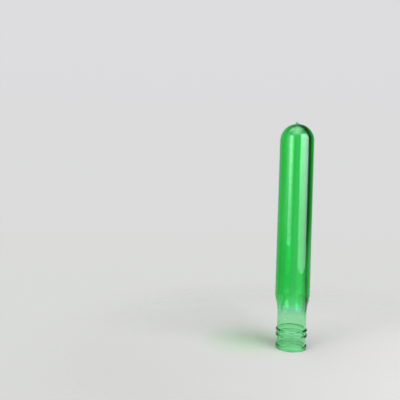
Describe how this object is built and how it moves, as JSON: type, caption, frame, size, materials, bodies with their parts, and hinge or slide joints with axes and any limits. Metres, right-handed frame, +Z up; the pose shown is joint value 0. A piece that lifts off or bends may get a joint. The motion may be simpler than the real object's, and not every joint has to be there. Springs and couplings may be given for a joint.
{
  "type": "pet bottle preform",
  "caption": "Thick-walled clear green tube with a domed closed end and a ringed neck for a press-on cap, blown into a large water bottle.",
  "frame": {"origin": "centre of the mouth's rim, on the plane that the preform stands on", "axes": "+Z up the axis to the domed gate end; +X is the low side of the slanted break on the gate stub"},
  "size_m": [0.0613, 0.0614, 0.4024],
  "materials": {
    "green_pet": "clear, tinted green right through, glossy"
  },
  "bodies": {
    "root": {"preform": "green_pet"}
  },
  "joints": []
}
